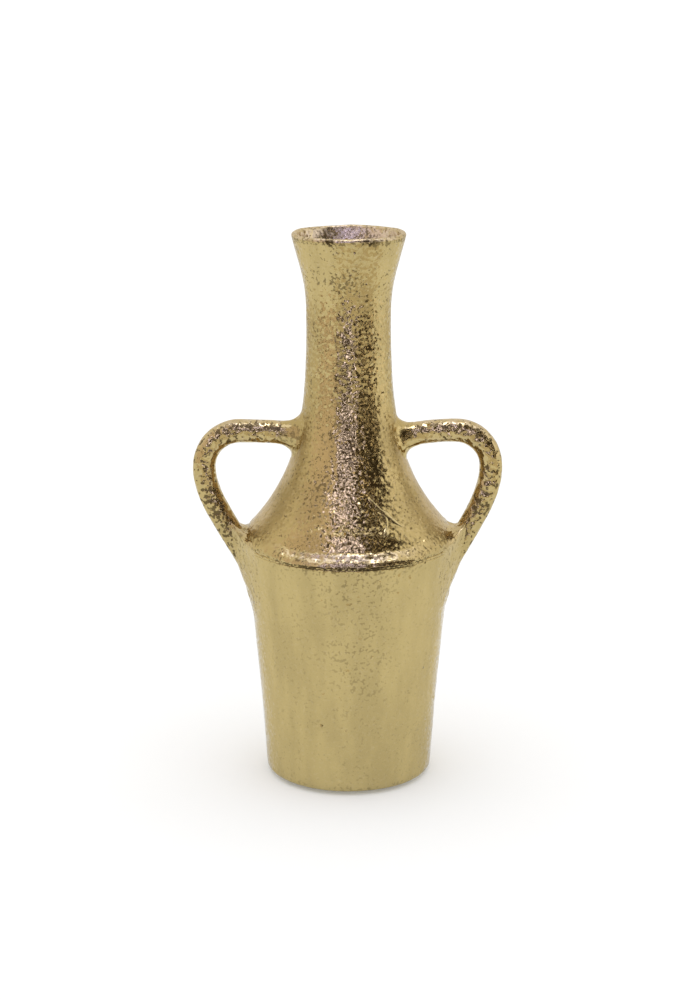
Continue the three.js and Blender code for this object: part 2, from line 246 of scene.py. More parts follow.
def wear_and_painted_light(made, label, patches):
    """Darkening (tarnished metal and painted shade), paleness (worn metal and painted light) or matt metal in
    patches on a piece. Each patch has its centre, the three sizes over which it fades out, and its strength."""
    marks = made.data.attributes[label].data
    for centre, size, strength in patches:
        for vertex in made.data.vertices:
            offset = vertex.co - Vector(centre)
            spread = Vector(offset[axis] / size[axis] for axis in range(3)).length
            if spread < 1:
                mark = marks[vertex.index]
                mark.value = max(mark.value, strength * (1 - spread ** 2))


# Painted dark reflection: two soft patches darken the middle of the cup's front, where it mirrors the dimmer
# room in front.
wear_and_painted_light(body_cup, "tarnish_and_shade", [
    ((0.004, -0.056, 0.122), (0.036, 0.02, 0.022), 0.2),
    ((0.006, -0.052, 0.085), (0.03, 0.02, 0.055), 0.16),
])


def add_node(tree, kind, inputs=None, **settings):
    """Node with its settings, and its inputs either joined to another node's output or set to a value."""
    node = tree.nodes.new(kind)
    for name, value in settings.items():
        setattr(node, name, value)
    for name, value in (inputs or {}).items():
        if isinstance(value, bpy.types.NodeSocket):
            tree.links.new(value, node.inputs[name])
        else:
            node.inputs[name].default_value = value
    return node


def add_noise(tree, place, size, detail, roughness=0.5):
    return add_node(tree, "ShaderNodeTexNoise", {
        "Vector": place, "Scale": 1 / size, "Detail": detail, "Roughness": roughness,
    }).outputs["Fac"]


def add_math(tree, operation, first, second):
    return add_node(tree, "ShaderNodeMath", {0: first, 1: second}, operation=operation).outputs[0]


def add_vector(tree, operation, first, second=None):
    """Sum on directions or places; the second of a SCALE is a plain number."""
    inputs = {0: first}
    if second is not None:
        inputs["Scale" if operation == "SCALE" else 1] = second
    return add_node(tree, "ShaderNodeVectorMath", inputs, operation=operation).outputs[0]


def add_ramp(tree, value, low, high, to_low=0.0, to_high=1.0):
    return add_node(tree, "ShaderNodeMapRange", {
        "Value": value, "From Min": low, "From Max": high, "To Min": to_low, "To Max": to_high,
    }, interpolation_type="SMOOTHSTEP").outputs[0]


def add_mix(tree, share, first, second):
    return add_node(tree, "ShaderNodeMix", {0: share, 6: first, 7: second}, data_type="RGBA").outputs[2]


def open_group(name, inputs, outputs):
    """Empty shader node group with its sockets, as the tree, its input node and its output node."""
    tree = bpy.data.node_groups.new(name, "ShaderNodeTree")
    for label, kind in inputs:
        tree.interface.new_socket(label, in_out="INPUT", socket_type=kind)
    for label, kind in outputs:
        tree.interface.new_socket(label, in_out="OUTPUT", socket_type=kind)
    return tree, tree.nodes.new("NodeGroupInput").outputs, tree.nodes.new("NodeGroupOutput").inputs


# The worn gold skin of every metal piece: facets of sand grain, pitting, grains worn bright, tarnished
# patches that also carry painted shade, pale patches of worn metal that also carry painted light, and matt
# patches
facet_size = 0.0013
facet_middle = (0.5, 0.5, 0.5)
rough_patch_size, rough_patch_edge = 0.005, (0.35, 0.65)
calm_tilt, rough_tilt = 0.6, 1.5
steep_chance, steep_tilt = (0.86, 0.97), 2.5
streak_stretch = (1, 1, 0.3)
blotch_size, blotch_edge, blotch_strength = 0.018, (0.35, 0.65), 0.16
sand_size = 0.0024
grit_size, rubbed_edge = 0.0012, (0.55, 0.7)
pit_size, pit_edge, pit_depth = 0.0015, (0.78, 0.88), 0.25
pit_spread_size, pit_spread_share, pit_tarnish_and_shade_share, pit_darkening = 0.013, 0.3, 0.5, 2
bare_and_lightened_edge, bare_and_lightened_least = (0.36, 0.56), 0.45
grime_and_shade_edge, grime_and_shade_least = (0.4, 0.6), 0.1
matt_edge, matt_roughness = (0.5, 0.62), 0.35
sheen_edge, smooth_sheen, dull_sheen = (0.3, 0.7), 0.09, 0.15

gold_skin, given, wanted = open_group(
    "worn cast gold",
    [("Gold", "NodeSocketColor"), ("Tarnished_and_shaded", "NodeSocketColor"), ("Bare Metal", "NodeSocketColor"),
     ("Tarnish_and_shade", "NodeSocketFloat"), ("Bare_and_lightened", "NodeSocketFloat"), ("Matt", "NodeSocketFloat"),
     ("Pitting", "NodeSocketFloat"), ("Rubbing", "NodeSocketFloat"), ("Facet Tilt", "NodeSocketFloat"),
     ("Fineness", "NodeSocketFloat"), ("Matting", "NodeSocketFloat")],
    [("Color", "NodeSocketColor"), ("Roughness", "NodeSocketFloat"), ("Height", "NodeSocketFloat"),
     ("Normal", "NodeSocketVector")],
)
whole = gold_skin.nodes.new("ShaderNodeTexCoord").outputs["Object"]
place = add_vector(gold_skin, "SCALE", whole, given["Fineness"])

facets = add_node(gold_skin, "ShaderNodeTexVoronoi", {"Vector": place, "Scale": 1 / facet_size}).outputs
lean = add_vector(gold_skin, "SUBTRACT", facets["Color"], facet_middle)
rough_patches = add_noise(gold_skin, place, rough_patch_size, 1)
steepness = add_ramp(gold_skin, rough_patches, *rough_patch_edge, calm_tilt, rough_tilt)
chance = add_node(gold_skin, "ShaderNodeTexWhiteNoise", {"Vector": facets["Position"]}).outputs["Value"]
steepness = add_math(
    gold_skin, "MULTIPLY", steepness, add_ramp(gold_skin, chance, *steep_chance, 1.0, steep_tilt))
steepness = add_math(gold_skin, "MULTIPLY", given["Facet Tilt"], steepness)
tilt = add_vector(gold_skin, "SCALE", lean, steepness)
skin_normal = gold_skin.nodes.new("ShaderNodeNewGeometry").outputs["Normal"]
tilted = add_vector(gold_skin, "ADD", skin_normal, tilt)
gold_skin.links.new(add_vector(gold_skin, "NORMALIZE", tilted), wanted["Normal"])

streaked = add_vector(gold_skin, "MULTIPLY", whole, streak_stretch)
blotch = add_noise(gold_skin, streaked, blotch_size, 3, 0.6)
sand = add_noise(gold_skin, place, sand_size, 0)
grit = add_noise(gold_skin, place, grit_size, 1)
pit_spread = add_noise(gold_skin, whole, pit_spread_size, 2)
pit_seed = add_noise(gold_skin, place, pit_size, 1)

pit_patches = add_math(gold_skin, "MULTIPLY", pit_spread, pit_spread_share)
pit_level = add_math(gold_skin, "ADD", pit_seed, pit_patches)
# The darkening mark carries tarnished metal and also painted shade and dark reflections: it deepens the pits
# and lays an even darkening on the colour.
pit_tarnish_and_shade = add_math(gold_skin, "MULTIPLY", given["Tarnish_and_shade"], pit_tarnish_and_shade_share)
pit_level = add_math(gold_skin, "ADD", pit_level, pit_tarnish_and_shade)
pit_dirt_and_shade = add_math(gold_skin, "MULTIPLY", given["Tarnish_and_shade"], pit_darkening)
pit_dirt_and_shade = add_math(gold_skin, "MINIMUM", add_math(gold_skin, "MAXIMUM", given["Pitting"], pit_dirt_and_shade), 1)
pits_and_shade = add_math(gold_skin, "MULTIPLY", add_ramp(gold_skin, pit_level, *pit_edge), pit_dirt_and_shade)
grime_and_shade = add_math(gold_skin, "MULTIPLY", given["Tarnish_and_shade"], given["Tarnish_and_shade"])
grime_and_shade = add_math(gold_skin, "MULTIPLY", grime_and_shade, add_ramp(gold_skin, sand, *grime_and_shade_edge, 1.0, grime_and_shade_least))
dirt_and_shade = add_math(gold_skin, "MAXIMUM", pits_and_shade, grime_and_shade)

high_grains = add_math(gold_skin, "MULTIPLY", add_ramp(gold_skin, grit, *rubbed_edge), given["Rubbing"])
bare_grains = add_ramp(gold_skin, sand, *bare_and_lightened_edge, bare_and_lightened_least, 1.0)
# The paleness mark carries worn metal and also painted light: it brightens the colour towards the pale tone.
bare_and_lightened_level = add_math(gold_skin, "MULTIPLY", given["Bare_and_lightened"], bare_grains)
rubbed_and_lightened = add_math(gold_skin, "MAXIMUM", high_grains, bare_and_lightened_level)

blotches = add_ramp(gold_skin, blotch, *blotch_edge, 0.0, blotch_strength)
mottled = add_mix(gold_skin, blotches, given["Gold"], given["Tarnished_and_shaded"])
brightened = add_mix(gold_skin, rubbed_and_lightened, mottled, given["Bare Metal"])
gold_skin.links.new(add_mix(gold_skin, dirt_and_shade, brightened, given["Tarnished_and_shaded"]), wanted["Color"])

matted = add_math(gold_skin, "MAXIMUM", add_math(gold_skin, "MAXIMUM", dirt_and_shade, bare_and_lightened_level), given["Matt"])
matt_grains = add_math(gold_skin, "MULTIPLY", add_ramp(gold_skin, pit_seed, *matt_edge), given["Matting"])
matted = add_math(gold_skin, "MAXIMUM", matted, matt_grains)
sheen = add_ramp(gold_skin, blotch, *sheen_edge, smooth_sheen, dull_sheen)
dullness = add_math(gold_skin, "MULTIPLY", matted, matt_roughness)
gold_skin.links.new(add_math(gold_skin, "ADD", sheen, dullness), wanted["Roughness"])
pit_floor = add_math(gold_skin, "MULTIPLY", pits_and_shade, pit_depth)
gold_skin.links.new(add_math(gold_skin, "SUBTRACT", sand, pit_floor), wanted["Height"])

gold_tone = (0.46, 0.341, 0.134, 1)
# Dark tone of tarnished metal, also used for painted shade and dark reflections.
tarnish_and_shade_tone = (0.065, 0.043, 0.016, 1)
# Pale tone of worn metal, also used for painted light and painted highlights.
bare_and_lightened_tone = (0.7, 0.57, 0.42, 1)
edge_tint = (0.86, 0.81, 0.71, 1)


def gold_finish(name, gold, pitting, rubbing, facet_tilt, fineness, matting, grain_depth):
    """Metal finish from the worn gold skin, with its own tone, pitting, rubbing and grain; the darkening and
    paleness its points carry bring painted shade and painted light as well as tarnished and worn metal.
    """
    finish = bpy.data.materials.new(name)
    finish.use_nodes = True
    tree = finish.node_tree
    shader = tree.nodes["Principled BSDF"]
    skin = add_node(tree, "ShaderNodeGroup", node_tree=gold_skin)
    for label, value in [("Gold", gold), ("Tarnished_and_shaded", tarnish_and_shade_tone), ("Bare Metal", bare_and_lightened_tone),
                         ("Pitting", pitting), ("Rubbing", rubbing), ("Facet Tilt", facet_tilt),
                         ("Fineness", fineness), ("Matting", matting)]:
        skin.inputs[label].default_value = value
    for label in ("Tarnish_and_shade", "Bare_and_lightened", "Matt"):
        mark = add_node(tree, "ShaderNodeAttribute", attribute_name=label.lower())
        tree.links.new(mark.outputs["Fac"], skin.inputs[label])
    bump = add_node(tree, "ShaderNodeBump", {
        "Height": skin.outputs["Height"], "Normal": skin.outputs["Normal"], "Distance": grain_depth,
    })
    shader.inputs["Metallic"].default_value = 1
    shader.inputs["Specular Tint"].default_value = edge_tint
    for source, target in [(skin.outputs["Color"], "Base Color"), (skin.outputs["Roughness"], "Roughness"),
                           (bump.outputs["Normal"], "Normal")]:
        tree.links.new(source, shader.inputs[target])
    return finish


cup_gold = gold_finish(
    "cup_cast_gold", gold_tone, pitting=0.17, rubbing=0.05, facet_tilt=0.12, fineness=0.9, matting=0.2,
    grain_depth=0.0001)
body_cup.data.materials.append(cup_gold)
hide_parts("body_cup")
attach(body_cup, "root")

# Shoulder and neck
# The upper casting: a sloping shoulder that draws in to a slim neck and flares to a thin rolled lip.
# It sits on the cup's rim with a spigot inside it. By the handles its edge is ground round, and at the front
# and back a thin uneven brim is left over the seam.
lip_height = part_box("shoulder_neck")[1].z
edge_round = 0.00575
shoulder_lean = radians(42.4)
shoulder_pull = 0.26
neck_pull = 0.44
waist_height = foot_height + 0.2588
waist_radius = 0.0229
waist_pull = 0.44
lip_radius = 0.0308
lip_lean = radians(13.5)
lip_pull = 0.36
lip_thickness = 0.0032
lip_steps = 14
lip_edge_rows = 3
spigot_thickness = 0.0025
spigot_clearance = 0.0003
spigot_bottom = seam_height - 0.006
spigot_step = 0.001
groove_rise, groove_gap = 0.0006, 0.0004
brim_reach, brim_height, brim_proud = 0.0003, 0.0004, 0.0008
brim_lean = radians(51)
brim_round, brim_gap = 0.0022, 0.0005
brim_relief = 3
flank_share, slope_share = 0.07, 0.01
dirty_and_shaded_rows, worn_and_highlight_rows = 5, 5
neck_around = 320
neck_gap = 0.00075
inner_gap = 0.0035

edge_corner = spot(shoulder_radius, seam_height + edge_round)
shoulder_slope = spot(-sin(shoulder_lean), cos(shoulder_lean))
edge_top = edge_corner + edge_round * shoulder_slope
edge_curve = [spot(shoulder_radius, seam_height), edge_corner, edge_top]
waist = spot(waist_radius, waist_height)
neck_rise = waist.y - edge_top.y
neck_curve = [
    edge_top,
    edge_top + shoulder_slope * (shoulder_pull * neck_rise / shoulder_slope.y),
    spot(waist_radius, waist_height - neck_pull * neck_rise),
    waist,
]
lip_centre = spot(lip_radius - lip_thickness / 2, lip_height - lip_thickness / 2)
lip_slope = spot(sin(lip_lean), cos(lip_lean))
flare_end = lip_centre + spot(lip_slope.y, -lip_slope.x) * (lip_thickness / 2)
flare_rise = flare_end.y - waist.y
flare_curve = [
    waist,
    spot(waist_radius, waist_height + waist_pull * flare_rise),
    flare_end - lip_slope * (lip_pull * flare_rise / lip_slope.y),
    flare_end,
]
lip_turns = [-lip_lean + pi * i / lip_steps for i in range(lip_steps + 1)]
lip_line = [lip_centre + spot(cos(turn), sin(turn)) * (lip_thickness / 2) for turn in lip_turns]
neck_outside = drawn(neck_curve, neck_gap)
flare_outside = drawn(flare_curve, neck_gap)


def inside_of(line, start, end):
    """Line moved square to itself, to its left, by the wall's thickness at its start and at its end."""
    moved = []
    for i, place in enumerate(line):
        along = (line[min(i + 1, len(line) - 1)] - line[max(i - 1, 0)]).normalized()
        moved.append(place + spot(-along.y, along.x) * (start + (end - start) * i / (len(line) - 1)))
    return moved


spigot_outer = cup_radius(spigot_bottom) - wall - spigot_clearance
spigot_inner = spigot_outer - spigot_thickness
neck_inside = [p for p in inside_of(drawn(neck_curve, inner_gap), wall, wall) if p.x < spigot_inner]
flare_inside = inside_of(flare_outside, wall, lip_thickness)
spigot_line = [
    spot(spigot_inner, neck_inside[0].y - spigot_step),
    spot(spigot_inner, spigot_bottom),
    spot(spigot_outer, spigot_bottom),
]

brim_radius = shoulder_radius + brim_reach
brim_slope = spot(-sin(brim_lean), cos(brim_lean))
brim_foot = spot(brim_radius, seam_height + brim_height)
brim_corner = spot(brim_radius, seam_height + brim_height + brim_round)
brim_top = brim_corner + brim_slope * brim_round
groove = spot(shoulder_radius - seam_depth, seam_height + groove_rise)
brim_line = [
    *drawn([groove, brim_foot, brim_foot], groove_gap),
    *drawn([brim_foot, brim_corner, brim_top], brim_gap)[1:],
]
brim_end = len(brim_line)
worn_and_highlight_end = brim_end + worn_and_highlight_rows
flank_top = bezier(neck_curve, flank_share)
flank_slope = (bezier(neck_curve, flank_share + slope_share) - flank_top).normalized()
flank_pull = (flank_top - brim_top).length / 3
flank_curve = [brim_top, brim_top + brim_slope * flank_pull, flank_top - flank_slope * flank_pull, flank_top]
edge_line = brim_line + drawn(flank_curve, neck_gap)[1:]
soft_edge = stepped([
    groove,
    *[place for place in drawn(edge_curve, neck_gap) if place.y > seam_height + seam_depth],
    *drawn(neck_curve, neck_gap, 0, flank_share)[1:],
], len(edge_line) - 1)
neck_rows = [
    *skinned([spot(spigot_outer, seam_height), spot(groove.x, seam_height)], skin=0, tarnish_and_shade=0.8),
    # The brim's underside and the groove are darkened at the front and back: partly tarnished metal in the
    # seam, partly painted shade under the overhang.
    *skinned(edge_line[:dirty_and_shaded_rows], brim_relief, 0.64, 0, brim_proud, soft_edge),
    # The brim's rounded top is paler at the front and back: partly worn metal, partly a painted highlight
    # along the edge.
    *skinned(edge_line[dirty_and_shaded_rows:brim_end], brim_relief, 0.16, 0.2, brim_proud, soft_edge[dirty_and_shaded_rows:]),
    *skinned(edge_line[brim_end:worn_and_highlight_end], brim_relief, 0.1, 0.5, brim_proud, soft_edge[brim_end:]),
    *skinned(edge_line[worn_and_highlight_end:], at_sides=soft_edge[worn_and_highlight_end:]),
    *skinned(drawn(neck_curve, neck_gap, flank_share)[1:]),
    *skinned(flare_outside[1:-lip_edge_rows]),
    # Painted shade: the outside of the flare just under the lip is darkened all round.
    *skinned(flare_outside[-lip_edge_rows:], tarnish_and_shade=0.25),
    # The lip is paler: partly worn metal, partly a painted highlight.
    *skinned(lip_line[1:], skin=2.5, tarnish_and_shade=0.12, bare_and_lightened=0.45),
    # Painted light: the inside of the mouth and neck is paler, against the shade inside the neck.
    *skinned(flare_inside[::-1][1:], skin=1.5, bare_and_lightened=0.75),
    *skinned(neck_inside[::-1][1:], tarnish_and_shade=0.15, bare_and_lightened=0.7),
    *skinned(spigot_line, skin=0.3, tarnish_and_shade=0.3),
]
shoulder_neck = turned("shoulder_neck_casting", neck_rows, neck_around, closed=True)

lip_mark = 0.0105
lip_front = -(lip_radius ** 2 - lip_mark ** 2) ** 0.5
wear_and_painted_light(shoulder_neck, "tarnish_and_shade", [
    # Painted dark reflections: two streaks under the front of the lip.
    *[((x, lip_front, lip_height - 0.002), (0.0055, 0.006, 0.003), 0.6) for x in (-lip_mark, lip_mark)],
    # Painted dark reflections on the back wall inside the mouth.
    ((0.0095, 0.024, lip_height - 0.006), (0.008, 0.009, 0.007), 0.4),
    ((-0.013, 0.023, lip_height - 0.007), (0.008, 0.009, 0.007), 0.4),
    # Painted dark reflection on the front of the flare, under the lip.
    ((-0.003, -0.0235, 0.281), (0.011, 0.01, 0.011), 0.22),
    # Painted shade on the left front of the shoulder and lower neck.
    ((-0.0155, -0.035, 0.178), (0.011, 0.022, 0.042), 0.2),
])
wear_and_painted_light(shoulder_neck, "matt", [((0, 0, lip_height), (0.05, 0.05, 0.004), 1)])
for side in (-1, 1):
    wear_and_painted_light(shoulder_neck, "matt", [
        ((side * 0.041, -0.022, 0.158), (0.024, 0.034, 0.055), 0.9),
        ((side * 0.041, 0.022, 0.158), (0.024, 0.034, 0.055), 0.9),
        ((side * 0.02624, -0.012, 0.19), (0.015, 0.02, 0.032), 0.9),
    ])
    # Painted light: paler metal on the shoulder and the neck under each handle, against the dark reflection
    # of the handle there.
    wear_and_painted_light(shoulder_neck, "bare_and_lightened", [
        ((side * 0.05002, 0, 0.158), (0.018, 0.026, 0.03), 0.5),
        ((side * 0.03608, 0, 0.185), (0.016, 0.022, 0.03), 0.5),
    ])

neck_gold = gold_finish(
    "neck_cast_gold", gold_tone, pitting=0.6, rubbing=0.1, facet_tilt=0.16, fineness=1, matting=0.4,
    grain_depth=0.0003)
shoulder_neck.data.materials.append(neck_gold)
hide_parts("shoulder_neck")
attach(shoulder_neck, "root")

# Flow lines
# Thin raised lines on the shoulder's front, where two flows of metal met in the mould.
# They are part of the casting and smooth; their paler tone and finish are a painted highlight along each
# ridge.
flow_width, flow_height, flow_sink = 0.003, 0.0003, 0.00005
flow_wobble = 0.7
flow_lean = 0.8
flow_steps, flow_gap, flow_across = 40, 0.0005, 8
# Painted highlight: the lines' paler finish and tone.
flow_highlight = 0.1
flow_highlight_tone = (0.5, 0.385, 0.16, 1)
long_flow = [(17, 0.1668), (21, 0.1636), (25.5, 0.1606), (28, 0.1585), (33, 0.155), (38, 0.1515)]
short_flow = [(26, 0.1602), (27, 0.156), (27, 0.152), (22, 0.148)]


def on_neck(degrees_round, height):
    """Place on the outside of the neck, at an angle from the front and a height."""
    k = next(i for i, place in enumerate(neck_outside) if place.y > height)
    low, high = neck_outside[k - 1], neck_outside[k]
    radius = low.x + (high.x - low.x) * (height - low.y) / (high.y - low.y)
    turn = radians(degrees_round)
    return Vector((radius * sin(turn), -radius * cos(turn), height))


def flow_line(name, route):
    """Raised line along a route of angles from the front and heights, thinning out at both ends."""
    controls = [Vector(point) for point in route]
    line = spaced([on_neck(*bezier(controls, i / flow_steps)) for i in range(flow_steps + 1)], flow_gap)
    verts, faces = [], []
    for i, position in enumerate(line):
        along = (line[min(i + 1, len(line) - 1)] - line[max(i - 1, 0)]).normalized()
        outward = Vector((position.x, position.y, hypot(position.x, position.y) * flow_lean)).normalized()
        sideways = along.cross(outward).normalized()
        wobble = 1 + flow_wobble * noise.noise(position / ragged_size)
        taper = sin(pi * (i + 1) / (len(line) + 1)) ** 0.5 * wobble
        for j in range(flow_across + 1):
            u = 2 * j / flow_across - 1
            lift = flow_height * taper * (1 - u * u) - flow_sink + cast_relief(position)
            verts.append(position + sideways * flow_width / 2 * taper * u + outward * lift)
    for i in range(len(line) - 1):
        for j in range(flow_across):
            here, ahead = i * (flow_across + 1) + j, (i + 1) * (flow_across + 1) + j
            faces.append((here, ahead, ahead + 1, here + 1))
    return piece(name, verts, faces, [0.0] * len(verts), [flow_highlight] * len(verts))


flow_gold = gold_finish(
    "flow_line_gold", flow_highlight_tone, pitting=0.2, rubbing=0, facet_tilt=0.05, fineness=1, matting=0.3,
    grain_depth=0.0001)
for name, route in (("long_flow_line", long_flow), ("short_flow_line", short_flow)):
    raised = flow_line(name, route)
    raised.data.materials.append(flow_gold)
    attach(raised, "root")

# Shoulder weld
# The bead that joins the two castings, run round the seam and ground back flush with the skin.
# Only a thin, uneven line of it shows under the shoulder's edge, darkest at the front and back: partly
# tarnished metal in the seam, partly painted shade under the brim.
bead_radius = 0.0011
bead_sink, bead_lift = 0.0003, 0.0001
bead_sides = 12
bead_centre = spot(shoulder_radius - seam_depth - bead_sink, seam_height + bead_lift)
bead_turns = [2 * pi * i / bead_sides for i in range(bead_sides)]
bead_line = [bead_centre + spot(cos(turn), sin(turn)) * bead_radius for turn in bead_turns]
bead_rows = skinned(bead_line, skin=2.0, tarnish_and_shade=0.5, proud=rim_proud)
shoulder_weld = turned("shoulder_weld_bead", bead_rows, cup_around, closed=True)
weld_gold = gold_finish(
    "weld_gold", gold_tone, pitting=0.4, rubbing=0.1, facet_tilt=0.08, fineness=0.8, matting=0.6,
    grain_depth=0.0002)
shoulder_weld.data.materials.append(weld_gold)
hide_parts("shoulder_weld")
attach(shoulder_weld, "root")

# Handles
# Two cast bars with a squarish round section, bent by hand, so the left and right differ a little.
# Each leaves the neck level, turns down at an elbow and leans in to the shoulder's edge.
bar_thickness = 0.0125
bar_depth = 0.0128
bar_squareness = 2.4
bar_relief = 1.6
seat_drops = {"left": 0.0015, "right": 0.0037}
elbow_radius = 0.020
elbow_pull = 0.31
foot_drop = 0.0091
leg_lean = radians(28.8)
leg_pull = 0.43
bar_around = 76
bar_gap = 0.00055
bury_depth = 0.0028
# Darkening of the bars is partly tarnished pits and partly painted shade and dark reflection; the paler top
# edge is partly worn metal and partly a painted highlight; the paler inner side is painted light.
top_tarnish_and_reflection = {"left": 0.56, "right": 0.4}
neck_tarnish_and_shade = {"left": 0.2, "right": 0.08}
leg_tarnish_and_shade = {"left": 0.6, "right": 0.44}
stain_and_shade_reach = 0.045
inner_bias = 1.3
top_wear_and_highlight, inner_painted_light = 0.5, 0.2

vase_skin = [
    *drawn(side_curve, fine_gap),
    *drawn(edge_curve, neck_gap)[1:],
    *neck_outside[1:],
    *flare_outside[1:],
]
skin_heights = [place.y for place in vase_skin]


def skin_radius(height):
    """Outside radius of the vase at a height."""
    k = min(max(bisect_left(skin_heights, height), 1), len(vase_skin) - 1)
    low, high = vase_skin[k - 1], vase_skin[k]
    return low.x + (high.x - low.x) * (height - low.y) / (high.y - low.y)


def cut_to_wall(position):
    """Position kept from going deeper than bury_depth into the wall."""
    limit = skin_radius(position.z) - bury_depth
    reach = hypot(position.x, position.y)
    if reach >= limit:
        return position
    return Vector((position.x * limit / reach, position.y * limit / reach, position.z))


def bar_radius(angle):
    """Radius of the bar's section at an angle from its depth."""
    across = abs(cos(angle)) / (bar_depth / 2)
    through = abs(sin(angle)) / (bar_thickness / 2)
    return (across ** bar_squareness + through ** bar_squareness) ** (-1 / bar_squareness)


def handle_line(hand, side):
    """Centre line of a handle, from inside the neck's wall to inside the cup's."""
    low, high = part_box(f"{hand}_handle")
    bar_height = high.z - bar_thickness / 2
    outermost = max(abs(low.x), abs(high.x)) - bar_thickness / 2
    seat = spot(skin_radius(bar_height - seat_drops[hand]), bar_height - seat_drops[hand])
    elbow_start = spot(outermost - elbow_radius, bar_height)
    elbow_end = spot(outermost, bar_height - elbow_radius)
    landing = spot(cup_radius(seam_height - foot_drop), seam_height - foot_drop)
    leg_slope = spot(sin(leg_lean), cos(leg_lean))
    leg_rise = elbow_end.y - landing.y
    quarter_pull = 4 / 3 * tan(pi / 8) * elbow_radius
    runs = [
        [seat - spot(wall, 0), seat],
        [seat, spot((seat.x + elbow_start.x) / 2, bar_height), elbow_start],
        [elbow_start, elbow_start + spot(quarter_pull, 0), elbow_end + spot(0, quarter_pull), elbow_end],
        [elbow_end, elbow_end - spot(0, elbow_pull * leg_rise),
         landing + leg_slope * (leg_pull * leg_rise / leg_slope.y), landing],
        [landing, landing - leg_slope * (bar_thickness / tan(leg_lean))],
    ]
    line = [Vector((side * p.x, 0, p.y)) for run in runs for p in drawn(run, bar_gap)[:-1]]
    return spaced(line, bar_gap)


def heading(line, i):
    return (line[min(i + 1, len(line) - 1)] - line[max(i - 1, 0)]).normalized()


def bar_outward(line, i, angle):
    """Direction square to the bar at a point of its line, at an angle from its depth."""
    depthways = Vector((0, 1, 0))
    return depthways * cos(angle) + heading(line, i).cross(depthways) * sin(angle)


def handle_bar(name, line, hand):
    """Bar swept along its line. It is darkened on its upper front and back, near the neck and on the inner
    half of its leg, partly by tarnished pits and partly as painted shade and dark reflection;
    it is paler along its top edge, partly worn metal and partly a painted highlight, and paler on the inside
    of its bend as painted light."""
    side = 1 if line[0].x > 0 else -1
    verts, faces, tarnish_and_shade, bare_and_lightened = [], [], [], []
    for i, centre in enumerate(line):
        near_neck = max(0.0, 1 - abs(centre.x - line[0].x) / stain_and_shade_reach)
        down_leg = min(1.0, max(0.0, (line[0].z - centre.z) / (line[0].z - line[-1].z)))
        for j in range(bar_around):
            angle = 2 * pi * j / bar_around
            outward = bar_outward(line, i, angle)
            position = centre + outward * bar_radius(angle)
            verts.append(cut_to_wall(position + outward * bar_relief * cast_relief(position)))
            upper_front = 2 * max(0.0, outward.z) * abs(outward.y)
            turned_out = -side * heading(line, i).cross(outward).y
            top_edge = max(0.0, turned_out) * max(0.0, outward.z)
            inner_side = max(0.0, -turned_out)
            inner_half = (inner_bias - outward.x * side) / (inner_bias + 1)
            # Darkened partly by tarnished pits, partly by painted shade and dark reflection: upper front and
            # back, near the neck (most on the left), inner half of the leg.
            tarnish_and_shade.append((1 - top_edge) * (1 - inner_side) * (
                top_tarnish_and_reflection[hand] * upper_front ** 2 + neck_tarnish_and_shade[hand] * near_neck
                + leg_tarnish_and_shade[hand] * sin(pi * down_leg) * inner_half))
            # Paler top edge, partly worn metal and partly a painted highlight; paler inside of the bend as
            # painted light.
            bare_and_lightened.append(max(top_wear_and_highlight * top_edge, inner_painted_light * inner_side))
    for i in range(len(line) - 1):
        for j in range(bar_around):
            k = (j + 1) % bar_around
            here, ahead = i * bar_around, (i + 1) * bar_around
            faces.append((here + j, here + k, ahead + k, ahead + j))
    faces.append(tuple(reversed(range(bar_around))))
    faces.append(tuple(range(len(verts) - bar_around, len(verts))))
    return piece(name, verts, faces, tarnish_and_shade, bare_and_lightened)


handle_gold = gold_finish(
    "handle_cast_gold", gold_tone, pitting=0.8, rubbing=0.1, facet_tilt=0.14, fineness=0.7, matting=0.2,
    grain_depth=0.0007)
handle_lines = {"left": handle_line("left", -1), "right": handle_line("right", 1)}
for hand, line in handle_lines.items():
    bar = handle_bar(f"{hand}_handle_bar", line, hand)
    bar.data.materials.append(handle_gold)
    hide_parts(f"{hand}_handle")
    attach(bar, "root")

# Handle welds
# Fillet welds round both ends of each handle, ground by hand to run smoothly from the bar to the vase.
# They stay lumpy where the grinder could not reach, above all in the lower inside corners.
neck_weld_widths = {"left": 0.0085, "right": 0.008}
neck_weld_stretch, neck_weld_pull = 1.4, 0.67
foot_weld_tops = {"left": 0.0035, "right": 0.0055}
foot_weld_sides = {"left": 0.032, "right": 0.028}
foot_weld_bottoms = {"left": 0.0072, "right": 0.0055}
foot_weld_stretch, foot_weld_pull = 1, 0.42
side_sharpness = 5
weld_bar_limit = 0.016
weld_around = 96
weld_steps = 22
weld_root = 0.002
toe_sink, toe_sharpness = 0.00025, 4
lumps_size, lumps_height, lumps_side_loss = 0.005, 0.0007, 0.8
# Painted light in the upper inside corner of each foot weld; every weld is tarnished along its middle.
corner_painted_light, weld_tarnish = 0.5, 0.12


def inside_vase(position):
    return hypot(position.x, position.y) < skin_radius(position.z)


def vase_outward(position):
    """Direction square to the vase's skin at a position on it."""
    step = 0.0004
    slope = (skin_radius(position.z + step) - skin_radius(position.z - step)) / (2 * step)
    reach = hypot(position.x, position.y)
    return Vector((position.x / reach, position.y / reach, -slope)).normalized()


def onto_vase(position, depth=0.0):
    reach = hypot(position.x, position.y)
    radius = skin_radius(position.z) - depth
    return Vector((position.x * radius / reach, position.y * radius / reach, position.z))


